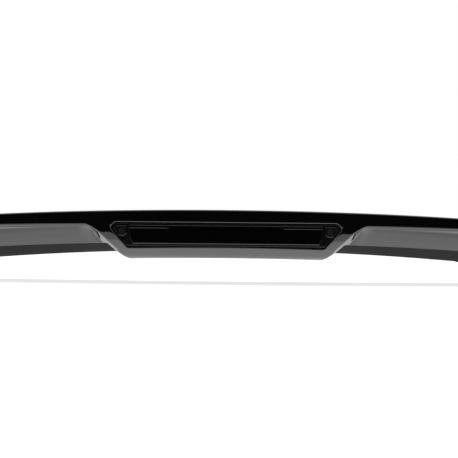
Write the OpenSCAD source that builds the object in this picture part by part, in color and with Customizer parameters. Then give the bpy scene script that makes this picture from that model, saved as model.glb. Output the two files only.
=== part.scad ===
// Rear spoiler for the boot lid of a car: a hollow moulded wing with a third brake lamp in a
// raised middle. X runs to the right seen from behind the car, Y towards its front, Z up.
// The origin lies on the lid, midway between the two inner studs.

/* [Overall] */
// Width over both tips
span = 1180; // [1120:10:1240]
// Depth from the tail to the front edge, in the middle
chord = 165; // [158:1:175]
// Depth from the tail to the front edge, at the tips
tip_chord = 112; // [104:1:125]
// Total height at the tips
tip_h = 22; // [18:1:30]
// Where the tips start to fall away, from the middle
taper_x = 340; // [320:10:380]
// Radius of the tail's sweep, seen from above
bow_r = 2200; // [2000:50:2600]
// Radius of the lid's crown, seen from behind
lid_r = 3900; // [3700:50:4600]
// How far the tail hangs out behind the studs, in the middle
overhang = 105; // [101:1:108]

/* [Wing section] */
// Height of the upright tail band, in the middle
band_h = 17.5; // [15:0.5:20]
// Height of the hollow cove under it, in the middle
cove_h = 25.6; // [22:0.2:29]
// Height of the lower band that the base shows, in the middle
base_h = 9.5; // [8:0.5:12]
// What the tail band loses on its way out, at the growth distance
band_loss = 4.4; // [3:0.2:5]
// What the cove gains there
cove_gain = 5.4; // [4:0.2:7]
// What the base band gains there
base_gain = 3.9; // [2.4:0.3:5.1]
// The growth distance from the middle
grow_x = 305; // [280:5:340]
// Fall of the top skin towards the front: 1 is straight, more is hollower
skin_power = 1.5; // [1.4:0.05:1.6]
// Radius of the tail's top edge
nose_r = 3.2; // [2.8:0.1:4]
// Radius of the crease between band and cove
crease_r = 6; // [4:0.5:8]
// Lean of the tail band, in degrees
band_lean = 2; // [1:0.5:4]
// Steepest lean of the cove, just under the crease, in degrees
cove_top = 58; // [52:1:64]
// Lean of the cove at the lip, in degrees
cove_foot = 15; // [10:1:22]
// Thickness of the outer shell
wall = 2.8; // [2.4:0.1:3.2]
// Thickness of the front edge
edge_t = 3; // [2.9:0.1:4]

/* [Boss] */
// Half width of the boss where it leaves the crease
boss_top_x = 187; // [183:1:194]
// Half width a little below that, where its edges straighten
boss_knee_x = 180; // [177:1:182]
// Half width where its lower corners are cut
boss_cut_x = 147; // [144:1:152]
// Half width along its bottom edge
boss_foot_x = 130; // [126:1:134]
// Radius of its face, seen from the side
face_r = 200; // [170:10:260]
// Radius of the sill under the lamp
sill_r = 22; // [19:1:26]
// How far the boss hangs below the base
boss_drop = 11.8; // [9:0.2:14]
// Rise of the boss's underside from its lower edge to the base
boss_rise = 7; // [5:0.5:8]

/* [Base] */
// Thickness of the base shell
base_t = 2.5; // [2.2:0.1:2.8]
// Height of the flange that the base shell sends up behind the lip
flange_h = 5; // [4:0.5:5.5]
// Glue gap between the two shells
glue_gap = 0.3; // [0.2:0.1:0.4]
// Lean of the band that the base shows, in degrees
base_lean = 14; // [8:1:18]
// How far the base stops short of the front edge
base_stop = 30; // [28:1:36]
// How far the base stops short of the tips
base_inset = 9; // [8:0.5:12]

/* [Lamp] */
// Half width of the recess at its pointed ends
recess_tip_x = 158.7; // [156:0.3:162]
// Half width of the recess at its top
recess_top_x = 152.6; // [150:0.2:154]
// Half width of the recess at its bottom
recess_foot_x = 134.9; // [134:0.3:138.2]
// Height of the recess
recess_h = 34.3; // [33:0.1:35]
// Depth of the recess behind the tail line
recess_u = 11; // [10.5:0.5:13]
// Widening of the recess from its floor to its rim
recess_draft = 2.4; // [1:0.2:3]
// Half width of the lens
lens_x = 130; // [126:1:131]
// Height of the lens
lens_h = 26; // [24:0.5:27]
// Thickness of the lens
lens_t = 2.2; // [1.8:0.1:2.6]
// Depth of the lens from its face to its foot
lens_deep = 4; // [3.5:0.1:4.5]
// Thickness of the lamp housing's flange
lamp_flange_t = 2.5; // [2:0.1:2.8]
// Thickness of the lamp housing's walls
lamp_wall = 1.6; // [1.4:0.1:2]
// Depth of the lamp housing behind its flange
lamp_deep = 11; // [10.5:0.5:12]
// Thickness of the foam gasket behind the flange
gasket_t = 1.2; // [1:0.1:1.5]
// Gap round the lamp in its recess
lamp_gap = 0.8; // [0.6:0.1:1]
// Number of light chips
led_count = 24; // [16:2:30]
// Thickness of the circuit board
board_t = 1.6; // [1.2:0.1:1.8]
// Diameter of the lamp's screws
lamp_screw_d = 4; // [3:0.5:4]
// Distance of the lamp's screws from the middle
ear_x = 141.5; // [141:0.5:142]
// How far the six-sided ears stand off the flange
ear_t = 2; // [1.5:0.1:2.5]

/* [Fixing] */
// Distance of the inner studs from the middle
inner_stud_x = 340; // [332:1:350]
// Distance of the outer studs from the middle
outer_stud_x = 440; // [430:1:450]
// Distance of the outer studs from the tail line
outer_stud_u = 63.5; // [60:0.5:67]
// Diameter of the studs
stud_d = 6; // [5:1:6]
// Length of a stud below the lid's surface
stud_l = 22; // [16:1:28]
// Diameter of a stud's neck, where it passes through the base
stud_neck_d = 8; // [7:0.5:10]
// Diameter of a stud's moulded-in head
stud_head_d = 20; // [18:1:22]
// Thickness of the adhesive tape
tape_t = 1.2; // [0.8:0.1:1.6]
// Width of the adhesive tape
tape_w = 10; // [8:1:12]
// Diameter of the screws that hold the shells together
shell_screw_d = 3.5; // [3:0.5:3.5]
// Length of the lamp's screws
lamp_screw_l = 16; // [14:1:18]
// Diameter of the circuit board's screws
board_screw_d = 2; // [1.6:0.2:2.2]
// Width of the spring clips that the lamp's screws bite into
clip_w = 12; // [10:1:14]
// Height of the spring clips
clip_h = 14; // [12:1:16]
// Thickness of the spring clips
clip_t = 1; // [0.8:0.1:1.2]

/* [Hidden] */
// Facets of full circles, of the long sweeps and of the plain rounds in the shells
$fn = 48;
arc_fn = 720;
hull_fn = 24;
// Stations along a shell, and steps along its top skin
station_count = 44;
skin_steps = 9;
half = span / 2;
// Thickness of a hull's end disc
disc_t = 0.01;
// Clearance of the parts inside the lamp, and between faces that rest on one another
lamp_clear = 0.3;
seat_gap = 0.1;
// Height of the recess's lower edge over the base, and how far its pointed ends lie below its top
recess_rise = 1.7;
recess_cut_h = 7;
// Distance from the recess's top to the lens, and to the middle of the ears
lens_drop = 2;
ear_drop = 11.2;
// Ends of the cutting bodies: the boss's tail side and its front side, and the lamp's front side
boss_back_y = -overhang - 5;
boss_far_y = 60;
lamp_far_y = 20;
// Posts under the skin, their distance from the tail line, and the radii of their ends
middle_post_x = 70;
stud_post_in = 80;
end_post_in = 90;
right_post_xs = [middle_post_x, boss_top_x - 2, inner_stud_x - stud_post_in, half - end_post_in];
post_xs = concat(-right_post_xs, right_post_xs);
post_u = 62;
post_foot_r = 4;
post_top_r = 5.2;
// Cross ribs: either side of the taper's start, and near the tips
end_rib_in = 35;
rib_step = 50;
right_rib_xs = [taper_x - rib_step, taper_x + rib_step, half - end_rib_in];
rib_xs = concat(-right_rib_xs, right_rib_xs);
outer_stud_y = tail_y(outer_stud_x) + outer_stud_u;
stud_places = [
    [-outer_stud_x, outer_stud_y], [-inner_stud_x, 0], [inner_stud_x, 0], [outer_stud_x, outer_stud_y]
];
// Depths of the seats for the seals and for the screws' heads
seal_sink = 0.6;
screw_sink = 1;
grommet_x = 30;
grommet_d = 16;
grommet_to_tape = 35;
tape_inset = 2;
// Length of the straight cuts that pass right through
through_l = 2 * chord;
socket_x = 30;
socket_d = 13;
shell_colour = [0.05, 0.05, 0.055];
base_colour = [0.13, 0.13, 0.135];

// The lid, and the heights of the wing's bands above it, at a distance x from the middle
function tip_share(x) = max(0, (abs(x) - taper_x) / (half - taper_x));
function growth(x) = let (a = pow(x / grow_x, 2)) a / (1 + a * a / 16);
function plain_h(x) = band_h + cove_h + base_h + (cove_gain + base_gain - band_loss) * growth(x);
function shrink(x) = 1 - (1 - tip_h / plain_h(half)) * pow(tip_share(x), 2);
function lid_z(x) = (pow(inner_stud_x, 2) - pow(x, 2)) / (2 * lid_r);
function floor_z(x) = lid_z(x) + tape_t;
function lip_z(x) = floor_z(x) + (base_h + base_gain * growth(x)) * shrink(x);
function crease_z(x) = lip_z(x) + (cove_h + cove_gain * growth(x)) * shrink(x);
function top_z(x) = crease_z(x) + (band_h - band_loss * growth(x)) * shrink(x);

// The tail line and the front edge in plan; u runs forward from the tail line
function tail_y(x) = bow_r - sqrt(pow(bow_r, 2) - pow(x, 2)) - overhang;
function chord_at(x) = chord - (chord - tip_chord) * pow(tip_share(x), 2);

// Corner radii, limited by the bands that they lie in
function nose_at(x) = min(nose_r * shrink(x), 0.4 * (top_z(x) - crease_z(x)));
function crease_at(x) = crease_r * shrink(x);

// A point on a round of radius r: a is the lean of its surface from upright, in degrees
function on_round(c, r, a) = [c[0] - r * cos(a), c[1] - r * sin(a)];

// The tail band starts at the nose round and leans forward down to the crease round
function nose_centre(x) = [nose_at(x), top_z(x) - nose_at(x)];
function band_foot_z(x) = crease_z(x) + 0.4 * crease_at(x);
function band_u(x, z) = (top_z(x) - nose_at(x) - z) * tan(band_lean);
function crease_centre(x) =
    let (r = crease_at(x), z = band_foot_z(x))
    [band_u(x, z) + r * cos(band_lean), z + r * sin(band_lean)];

// The cove: an arc that leaves the crease round and turns back towards upright at the lip
function cove_start(x) = on_round(crease_centre(x), crease_at(x), cove_top);
function cove_r(x) = (cove_start(x)[1] - lip_z(x)) / (sin(cove_top) - sin(cove_foot));
function cove_point(x, a, t = 0) =
    let (s = cove_start(x), r = cove_r(x))
    [s[0] + r * (cos(a) - cos(cove_top)) + t * cos(a), s[1] - r * (sin(cove_top) - sin(a)) + t * sin(a)];
function lip_u(x) = cove_point(x, cove_foot)[0];

// The top skin rises from the front edge and meets the nose round at the same slope
function ramp_at(x) = atan(skin_power * (top_z(x) - floor_z(x) - edge_t) / chord_at(x));
function skin_start(x) =
    let (c = nose_centre(x), r = nose_at(x), a = ramp_at(x))
    [c[0] + r * sin(a), c[1] + r * cos(a)];
function skin_point(x, v, t = 0) =
    let (
        s = skin_start(x),
        run = chord_at(x) - s[0],
        rise = s[1] - floor_z(x) - edge_t,
        turn = atan(skin_power * rise / run * pow(1 - v, skin_power - 1))
    )
    [s[0] + v * run - t * sin(turn), floor_z(x) + edge_t + rise * pow(1 - v, skin_power) - t * cos(turn)];

// Outside of the wing at x, from the front edge over the tail to the lip and back along the bottom
function wing_outline(x) = concat(
    [[chord_at(x), floor_z(x) + edge_t - wall]],
    [for (i = [0:skin_steps]) skin_point(x, 1 - i / skin_steps)],
    [for (a = [60, 30, 0]) let (c = nose_centre(x)) [c[0] - nose_at(x) * cos(a), c[1] + nose_at(x) * sin(a)]],
    [for (i = [0:3]) on_round(crease_centre(x), crease_at(x), band_lean + (cove_top - band_lean) * i / 3)],
    [for (i = [1:5]) cove_point(x, cove_top + (cove_foot - cove_top) * i / 5)]
);

// Inside of the wing's wall, down past the bottom so that the shell stays open there
function wing_hollow(x) =
    let (c = crease_centre(x), r = max(crease_at(x) - wall, 0.4), low = floor_z(x) - 20)
    concat(
        [[chord_at(x) - wall, low]],
        [for (i = [0:skin_steps - 1]) skin_point(x, (skin_steps - i) / skin_steps * 0.98, wall)],
        [[wall + 0.3, top_z(x) - tan(ramp_at(x)) * wall - wall / cos(ramp_at(x))]],
        [for (i = [0:2]) on_round(c, r, band_lean + (cove_top - band_lean) * i / 2)],
        [for (i = [1:5]) cove_point(x, cove_top + (cove_foot - cove_top) * i / 5, wall)],
        [[cove_point(x, cove_foot, wall)[0], low]]
    );

// The boss in section: its face carries on from the tail band, then rolls under as a sill
mid_z = floor_z(0);
boss_hi_z = crease_z(0) + crease_r;
sill_z = mid_z + recess_rise - recess_draft;
function face_turn(x) = asin(sin(band_lean) + (band_foot_z(x) - sill_z) / face_r);
function foot_turn(x) = asin(sin(face_turn(x)) + (sill_z - mid_z + boss_drop) / sill_r);
function face_point(x, share, t = 0) =
    let (z = band_foot_z(x), a = band_lean + (face_turn(x) - band_lean) * share)
    [
        band_u(x, z) + face_r * (cos(band_lean) - cos(a)) + t * cos(a),
        z - face_r * (sin(a) - sin(band_lean)) + t * sin(a)
    ];
function sill_point(x, share, t = 0) =
    let (s = face_point(x, 1), a0 = face_turn(x), a = a0 + (foot_turn(x) - a0) * share)
    [s[0] + sill_r * (cos(a0) - cos(a)) + t * cos(a), s[1] - sill_r * (sin(a) - sin(a0)) + t * sin(a)];
function boss_outline(x) = concat(
    [[lip_u(0), band_foot_z(x)]],
    [for (i = [0:4]) face_point(x, i / 4)],
    [for (i = [1:4]) sill_point(x, i / 4)],
    [[base_back_u(x) - glue_gap, mid_z - boss_drop + boss_rise], [base_back_u(x) - glue_gap, mid_z + base_h]]
);
function boss_hollow(x) = concat(
    [[base_back_u(x) + 9, band_foot_z(x) - wall]],
    [for (i = [1:4]) face_point(x, i / 4, wall)],
    [for (i = [1:3]) sill_point(x, i / 4, wall)],
    [[base_back_u(x) + 9, mid_z - boss_drop + boss_rise + wall]]
);

// The recess in the boss, and the levels of the lamp that fills it; u levels count from the tail line
recess_foot_z = mid_z + recess_rise;
recess_top_z = recess_foot_z + recess_h;
recess_tip_z = recess_top_z - recess_cut_h;
lamp_z = recess_top_z - lens_drop - lens_h / 2;
gasket_u = recess_u - gasket_t;
flange_u = gasket_u - lamp_flange_t;
lens_u = flange_u - lens_deep;
back_u = gasket_u + lamp_deep;
tub_x = lens_x - 4;
tub_h = lens_h - 5;
hole_x = tub_x + lamp_clear + 0.7;
hole_h = tub_h + 2;
board_u = back_u - lamp_wall - 2.6 - board_t;
ear_z = recess_top_z - ear_drop;
ear_y = tail_y(ear_x) + flange_u - ear_t;
floor_back_u = recess_u + wall;
socket_y = tail_y(socket_x + 9) + back_u;
led_pitch = 2 * (tub_x - lamp_wall - 6.5) / (led_count - 1);

// The base in section: a back band behind the lip, then a floor that stops short of the front edge
function base_back_u(x) = cove_point(x, cove_foot, wall)[0] + glue_gap;
function base_end_u(x) = chord_at(x) - base_stop - 6 * tip_share(x);
function front_tape_u(x) = base_end_u(x) - tape_w - tape_inset;
grommet_u = front_tape_u(grommet_x) - grommet_to_tape;
function base_outline(x) =
    let (
        u = base_back_u(x), z = floor_z(x), h = lip_z(x) - z,
        up = flange_h * shrink(x), foot = u + h * tan(base_lean), end = base_end_u(x)
    )
    [
        [u, z + h + up], [u, z + h], [foot, z + 2], [foot + 2, z], [end, z],
        [end, z + base_t], [foot + 3.4, z + base_t], [u + base_t, z + h], [u + base_t, z + h + up]
    ];

// Lays closed outlines at the stations xs, skins them and caps both ends. Each outline is a list
// of [u, z] points, all with the same number, in the same order.
module loft(xs, outlines) {
    n = len(outlines[0]);
    points = [for (k = [0:len(xs) - 1]) for (p = outlines[k]) [xs[k], tail_y(xs[k]) + p[0], p[1]]];
    sides = [
        for (k = [0:len(xs) - 2]) for (i = [0:n - 1])
            let (a = k * n + i, b = k * n + (i + 1) % n)
            each [[a, b + n, b], [a, a + n, b + n]]
    ];
    start = [[for (i = [0:n - 1]) i]];
    finish = [[for (i = [n - 1:-1:0]) (len(xs) - 1) * n + i]];
    polyhedron(points = points, faces = concat(sides, start, finish), convexity = 8);
}

// Even stations between two distances from the middle
function stations(a, b, n) = [for (i = [0:n]) a + (b - a) * i / n];
wing_xs = stations(-half, half, station_count);
base_xs = stations(-half + base_inset, half - base_inset, station_count);

// A bar that follows the tail's sweep: a profile of [u, z] points turned about the sweep's centre
module swept_bar(profile, x_half) {
    reach = asin(x_half / bow_r);
    translate([0, bow_r - overhang, 0])
        rotate_extrude(angle = 2 * reach, start = 270 - reach, $fn = arc_fn)
            polygon([for (p = profile) [bow_r - p[0], p[1]]]);
}

// The same for a plain rectangle between two u levels and two heights
module swept_box(u0, u1, z0, z1, x_half) {
    swept_bar([[u0, z0], [u0, z1], [u1, z1], [u1, z0]], x_half);
}

// Carries an outline drawn in X and Z straight through, from one y to another
module upright_plate(y0, y1) {
    translate([0, y1, 0]) rotate([90, 0, 0]) linear_extrude(y1 - y0) children();
}

// Mirrors what stands on the right to the left as well
module both_sides() {
    children();
    mirror([1, 0, 0]) children();
}

// The boss seen from behind; less trims its edges inward all round
module boss_front(less = 0) {
    x_z = [
        [boss_top_x, boss_hi_z], [boss_top_x, crease_z(boss_top_x)],
        [boss_knee_x, crease_z(boss_top_x) - 5.8],
        [boss_cut_x, mid_z - 1.7], [boss_foot_x, mid_z - boss_drop - 1]
    ];
    offset(delta = -less) polygon(concat(x_z, [for (i = [len(x_z) - 1:-1:0]) [-x_z[i][0], x_z[i][1]]]));
}

// The recess seen from behind: a long trapezoid with its upper corners cut off; more widens it
module recess_front(more = 0) {
    right = [
        [recess_top_x, recess_top_z], [recess_tip_x, recess_tip_z], [recess_foot_x, recess_foot_z]
    ];
    offset(delta = more) polygon(concat(right, [for (i = [2:-1:0]) [-right[i][0], right[i][1]]]));
}

// A six-sided ear of the lamp, cut to the slant of the recess
module ear_front() {
    s = (recess_tip_x - recess_foot_x) / (recess_tip_z - recess_foot_z);
    out = recess_tip_x - recess_draft - lamp_gap;
    low = ear_z - 7.4;
    slant = out - s * (recess_tip_z - low);
    polygon([
        [lens_x + 3.4, ear_z + 7], [out - 5.4, ear_z + 7], [out - 1.6, recess_tip_z - 2],
        [slant - 1.2, low], [lens_x + 6.2, low], [lens_x + 3.4, low + 3.2]
    ]);
}

// Tapered post from the skin's inside to the base floor, bored for a screw
module shell_post(x) {
    y = tail_y(x) + post_u;
    z0 = floor_z(x - post_foot_r * sign(x)) + base_t;
    far_x = x + post_top_r * sign(x);
    z1 = skin_point(far_x, (post_u + post_top_r) / chord_at(far_x))[1] - 0.3 * wall;
    difference() {
        hull() {
            translate([x, y, z0]) cylinder(r = post_foot_r, h = disc_t, $fn = hull_fn);
            translate([x, y, z1]) cylinder(r = post_top_r, h = disc_t, $fn = hull_fn);
        }
        translate([x, y, z0 - 1]) cylinder(d = shell_screw_d - 0.7, h = z1 - z0 - 2, $fn = hull_fn);
    }
}

// Cross rib under the top skin, which keeps the wide panels flat
module skin_rib(x) {
    z1 = top_z(x) - wall;
    intersection() {
        translate([x - 0.9, tail_y(x) + lip_u(x) + 10, lip_z(x)])
            cube([1.8, chord_at(x) - 75, z1 - lip_z(x)]);
        translate([0, 0, -0.5 * wall]) loft([x - 2, x + 2], [for (s = [x - 2, x + 2]) wing_outline(s)]);
    }
}

// Outer shell: gloss black, one moulding with the boss, the lamp recess, posts and ribs
module outer_shell() {
    hollow_xs = stations(-half + 5, half - 5, station_count);
    boss_xs = [for (x = wing_xs) if (abs(x) < boss_top_x + span / station_count) x];
    color(shell_colour) difference() {
        union() {
            difference() {
                union() {
                    loft(wing_xs, [for (x = wing_xs) wing_outline(x)]);
                    intersection() {
                        loft(boss_xs, [for (x = boss_xs) boss_outline(x)]);
                        upright_plate(boss_back_y, boss_far_y) boss_front();
                    }
                }
                loft(hollow_xs, [for (x = hollow_xs) wing_hollow(x)]);
                intersection() {
                    loft(boss_xs, [for (x = boss_xs) boss_hollow(x)]);
                    upright_plate(boss_back_y, boss_far_y) boss_front(wall);
                }
            }
            intersection() {
                swept_box(1.5, floor_back_u, mid_z - 5, boss_hi_z + 8, recess_tip_x + 6);
                upright_plate(boss_back_y, boss_far_y) recess_front(recess_draft + 1.6);
            }
            for (x = post_xs) shell_post(x);
            for (x = rib_xs) skin_rib(x);
        }
        intersection() {
            swept_box(-8, recess_u, mid_z - 8, boss_hi_z + 8, recess_tip_x + 6);
            hull() {
                upright_plate(-overhang - 2, -overhang - 1) recess_front(recess_draft);
                upright_plate(-overhang + recess_u + 5, -overhang + recess_u + 6) recess_front();
            }
        }
        swept_box(recess_u - 2, floor_back_u + 2, lamp_z - hole_h / 2, lamp_z + hole_h / 2, hole_x);
        both_sides() translate([ear_x, tail_y(ear_x) + recess_u, ear_z]) rotate([90, 0, 0])
            cylinder(d = lamp_screw_d + 0.6, h = 4 * wall, center = true, $fn = hull_fn);
    }
}

// Base shell: satin black tray glued under the outer shell, with stud towers and screw seats
module base_shell() {
    color(base_colour) difference() {
        union() {
            loft(base_xs, [for (x = base_xs) base_outline(x)]);
            for (p = stud_places) stud_tower(p);
            for (x = post_xs) floor_rib(x + 24 * sign(x));
        }
        for (p = stud_places) translate([p[0], p[1], floor_z(p[0])]) {
            translate([0, 0, -3]) cylinder(d = stud_neck_d + 0.3, h = 12, $fn = hull_fn);
            translate([0, 0, base_t]) cylinder(d = stud_head_d + 0.5, h = 12, $fn = hull_fn);
            translate([0, 0, -6]) cylinder(d = stud_head_d + 7, h = 6 - seal_sink, $fn = hull_fn);
        }
        for (x = post_xs) translate([x, tail_y(x) + post_u, floor_z(x)]) {
            cylinder(d = shell_screw_d + 0.5, h = 12, $fn = hull_fn);
            translate([0, 0, -3]) cylinder(d = 9, h = 3 + screw_sink, $fn = hull_fn);
        }
        translate([grommet_x, tail_y(grommet_x) + grommet_u, floor_z(grommet_x) - 3])
            cylinder(d = grommet_d, h = 12, $fn = hull_fn);
    }
}

// Ring that a stud's head is moulded into, with a flat pad below for its seal
module stud_tower(p) {
    translate([p[0], p[1], floor_z(p[0]) - seal_sink]) hull() {
        cylinder(d = stud_head_d + 9, h = 1, $fn = hull_fn);
        translate([0, 0, base_t + seal_sink + 2.6]) cylinder(d = stud_head_d + 4, h = 1, $fn = hull_fn);
    }
}

// Low rib across the base floor
module floor_rib(x) {
    u0 = base_back_u(x) + 12;
    translate([x, tail_y(x) + u0, floor_z(x) + base_t - 0.5]) hull() {
        translate([-1, 0, 0]) cube([2, chord_at(x) - base_stop - u0 - 6, 1]);
        translate([-0.7, 3, 0]) cube([1.4, chord_at(x) - base_stop - u0 - 28, 4]);
    }
}

// Lens: smoked cover, a shallow tray over the reflector
module lamp_lens() {
    z0 = lamp_z - lens_h / 2;
    z1 = lamp_z + lens_h / 2;
    foot_u = flange_u - seat_gap;
    color([0.03, 0.02, 0.02]) difference() {
        intersection() {
            swept_bar([
                [lens_u + 1, z0], [lens_u, z0 + 1.6], [lens_u, z1], [foot_u, z1], [foot_u, z0]
            ], lens_x + 4);
            upright_plate(boss_back_y, lamp_far_y) polygon([
                [-lens_x + 3.6, z0], [-lens_x, z0 + 8], [-lens_x - 1, z1],
                [lens_x + 1, z1], [lens_x, z0 + 8], [lens_x - 3.6, z0]
            ]);
        }
        swept_box(lens_u + lens_t, flange_u + 1, z0 + lens_t, z1 - lens_t, lens_x - 5);
    }
}

// Housing: black moulded tub with a flange that fills the recess and carries the two ears
module lamp_housing() {
    color([0.06, 0.06, 0.065]) difference() {
        union() {
            intersection() {
                swept_box(flange_u, gasket_u, mid_z - 5, boss_hi_z + 5, recess_tip_x + 3);
                upright_plate(-overhang, lamp_far_y) recess_front(-lamp_gap);
            }
            swept_box(gasket_u - 0.5, back_u, lamp_z - tub_h / 2, lamp_z + tub_h / 2, tub_x);
            both_sides() intersection() {
                upright_plate(ear_y, ear_y + ear_t + 2) ear_front();
                swept_box(-5, gasket_u - 0.5, mid_z - 5, boss_hi_z + 5, recess_tip_x + 3);
            }
        }
        difference() {
            swept_box(
                flange_u - 2, back_u - lamp_wall,
                lamp_z - tub_h / 2 + lamp_wall, lamp_z + tub_h / 2 - lamp_wall,
                tub_x - lamp_wall
            );
            for (s = [-1, 1]) board_screw_at(s)
                translate([0, 0, seat_gap]) cylinder(d = 2.5 * board_screw_d, h = 10);
        }
        for (s = [-1, 1]) board_screw_at(s) translate([0, 0, -1]) cylinder(d = 1.1 * board_screw_d, h = 3.4);
        both_sides() translate([ear_x, 0, ear_z]) rotate([90, 0, 0])
            cylinder(d = lamp_screw_d + 0.4, h = through_l, center = true);
        translate([socket_x, 0, lamp_z]) rotate([90, 0, 0])
            cylinder(d = socket_d, h = through_l, center = true);
        translate([-socket_x, socket_y - 5, lamp_z]) rotate([-90, 0, 0]) cylinder(d = 6, h = 10);
    }
}

// Reflector: bright strip with one tapered cup for each light chip
module lamp_reflector() {
    u0 = flange_u + 0.4;
    h = tub_h - 2 * lamp_wall - 2 * lamp_clear;
    x_half = tub_x - lamp_wall - 0.5;
    color([0.75, 0.75, 0.78]) difference() {
        swept_box(u0, board_u - 0.2, lamp_z - h / 2, lamp_z + h / 2, x_half);
        for (i = [0:led_count - 1]) at_led(i)
            translate([0, 0, u0 - 1]) cylinder(r1 = 4.6, r2 = 2.8, h = board_u - u0 + 2, $fn = hull_fn);
        for (s = [-1, 1]) board_screw_at(s)
            translate([0, 0, -board_t - 2.2]) cylinder(d = 2.3 * board_screw_d, h = 4);
    }
}

// Places its children at a light chip, their Z along the chip's axis into the lamp
module at_led(i) {
    x = (i - (led_count - 1) / 2) * led_pitch;
    turn = asin(x / bow_r);
    translate([0, bow_r - overhang, lamp_z]) rotate([0, 0, turn]) translate([0, -bow_r, 0])
        rotate([-90, 0, 0]) children();
}

// Circuit board: a thin strip bent to the sweep
module circuit_board() {
    h = tub_h - 2 * lamp_wall - 2 * lamp_clear;
    x_half = tub_x - lamp_wall - 0.5;
    color([0.05, 0.28, 0.12]) difference() {
        swept_box(board_u, board_u + board_t, lamp_z - h / 2, lamp_z + h / 2, x_half);
        for (s = [-1, 1]) board_screw_at(s) cylinder(d = 1.15 * board_screw_d, h = 20, center = true);
    }
}
module board_screw_at(s) {
    turn = asin(s * 62 / bow_r);
    translate([0, bow_r - overhang, lamp_z - 5.6]) rotate([0, 0, turn])
        translate([0, board_u + board_t - bow_r, 0]) rotate([-90, 0, 0]) children();
}

// Light chips: small square packages with a round window
module led_chips() {
    color([0.9, 0.85, 0.6]) for (i = [0:led_count - 1]) at_led(i) {
        translate([-1.75, -1.4, board_u - 1]) cube([3.5, 2.8, 1]);
        translate([0, 0, board_u - 1.4]) cylinder(d = 2.2, h = 0.5, $fn = hull_fn);
    }
}

// Resistors: one small block on the board's back for each pair of chips
module board_resistors() {
    color([0.1, 0.1, 0.1]) for (i = [0:3:led_count - 2]) at_led(i)
        translate([led_pitch / 2 - 1.6, -0.8, board_u + board_t + seat_gap / 2]) cube([3.2, 1.6, 0.9]);
}

// Two small screws through the board into the housing's back wall
module board_screws() {
    color([0.6, 0.6, 0.6]) for (s = [-1, 1]) board_screw_at(s) {
        translate([0, 0, -board_t - 0.2]) cylinder(d = board_screw_d, h = board_t + 2.2);
        translate([0, 0, -board_t - 1.4]) cylinder(d = 2 * board_screw_d, h = 1.2);
    }
}

// Gasket: foam frame between the housing's flange and the recess floor
module lamp_gasket() {
    rest = seat_gap / 2;
    slot_h = hole_h + 1;
    color([0.1, 0.1, 0.1]) difference() {
        intersection() {
            swept_box(gasket_u + rest, recess_u - rest, mid_z - 5, boss_hi_z + 5, recess_tip_x + 3);
            upright_plate(-overhang, lamp_far_y) recess_front(-lamp_gap - 0.6);
        }
        swept_box(gasket_u - 1, recess_u + 1, lamp_z - slot_h / 2, lamp_z + slot_h / 2, hole_x + 0.5);
        both_sides() translate([ear_x, 0, ear_z]) rotate([90, 0, 0])
            cylinder(d = lamp_screw_d + 0.6, h = through_l, center = true);
    }
}

// Lamp screws: pan heads on the ears, with a cross recess
module lamp_screws() {
    color([0.55, 0.55, 0.56]) both_sides() translate([ear_x, ear_y, ear_z]) difference() {
        union() {
            rotate([-90, 0, 0]) cylinder(d = lamp_screw_d, h = lamp_screw_l);
            rotate([90, 0, 0]) cylinder(d = lamp_screw_d * 1.9, h = 1.6);
        }
        for (a = [0, 90]) translate([0, -1.6, 0]) rotate([0, a, 0])
            cube([lamp_screw_d * 1.1, 1.6, 0.8], center = true);
    }
}

// Spring clips behind the recess floor, which the lamp screws bite into
module screw_clips() {
    y = tail_y(ear_x) + floor_back_u + 0.5;
    color([0.35, 0.35, 0.36]) both_sides() translate([ear_x, y, ear_z]) difference() {
        union() {
            translate([-clip_w / 2, 0, -clip_h / 2]) cube([clip_w, clip_t, clip_h]);
            rotate([-90, 0, 0]) cylinder(d = 1.75 * lamp_screw_d, h = 3 * clip_t);
        }
        rotate([90, 0, 0]) cylinder(d = lamp_screw_d, h = through_l, center = true);
    }
}

// Socket: the lamp's inlet for the car's own plug, pressed into the back of the housing
module lamp_socket() {
    color([0.12, 0.12, 0.12]) translate([socket_x, socket_y, lamp_z]) rotate([-90, 0, 0]) difference() {
        union() {
            translate([0, 0, -lamp_wall - 0.4]) cylinder(d = socket_d - 0.1, h = lamp_wall + 0.6);
            cylinder(d = socket_d + 5, h = 1.6);
            translate([-6.5, -5, 1.5]) cube([13, 8.6, 11]);
        }
        translate([-5.2, -3.7, 4]) cube([10.4, 6, 10]);
        for (s = [-1, 1]) translate([s * 2.4 - 1, -0.3, -5]) cube([2, 0.6, 12]);
    }
}

// Contact blades in the socket
module socket_pins() {
    color([0.8, 0.65, 0.3]) translate([socket_x, socket_y, lamp_z]) rotate([-90, 0, 0])
        for (s = [-1, 1]) translate([s * 2.4 - 1, -0.3, -2]) cube([2, 0.6, 12.5]);
}

// Breather: a small plug that lets the lamp dry out
module breather_plug() {
    color([0.85, 0.85, 0.85]) translate([-socket_x, socket_y, lamp_z]) rotate([-90, 0, 0]) difference() {
        union() {
            translate([0, 0, -lamp_wall]) cylinder(d = 5.9, h = lamp_wall + 0.2);
            cylinder(d = 9, h = 2.2);
        }
        translate([0, 0, -lamp_wall - 1]) cylinder(d = 1.6, h = 2.2 + lamp_wall);
    }
}

// Grommet: rubber bung in the base floor, with a thin skin that the lamp's lead is pushed through
module lead_grommet() {
    r = grommet_d / 2;
    gap = 1.5 * seat_gap;
    translate([grommet_x, tail_y(grommet_x) + grommet_u, floor_z(grommet_x)]) color([0.06, 0.06, 0.06])
        rotate_extrude() polygon([
            [0, 0], [4, 0], [4, -1], [r + 2.4, -1], [r + 2.4, -gap], [r - gap, -gap],
            [r - gap, base_t + gap], [r + 2, base_t + gap], [r, base_t + 3], [4, base_t + 3], [4, 1], [0, 1]
        ]);
}

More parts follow.
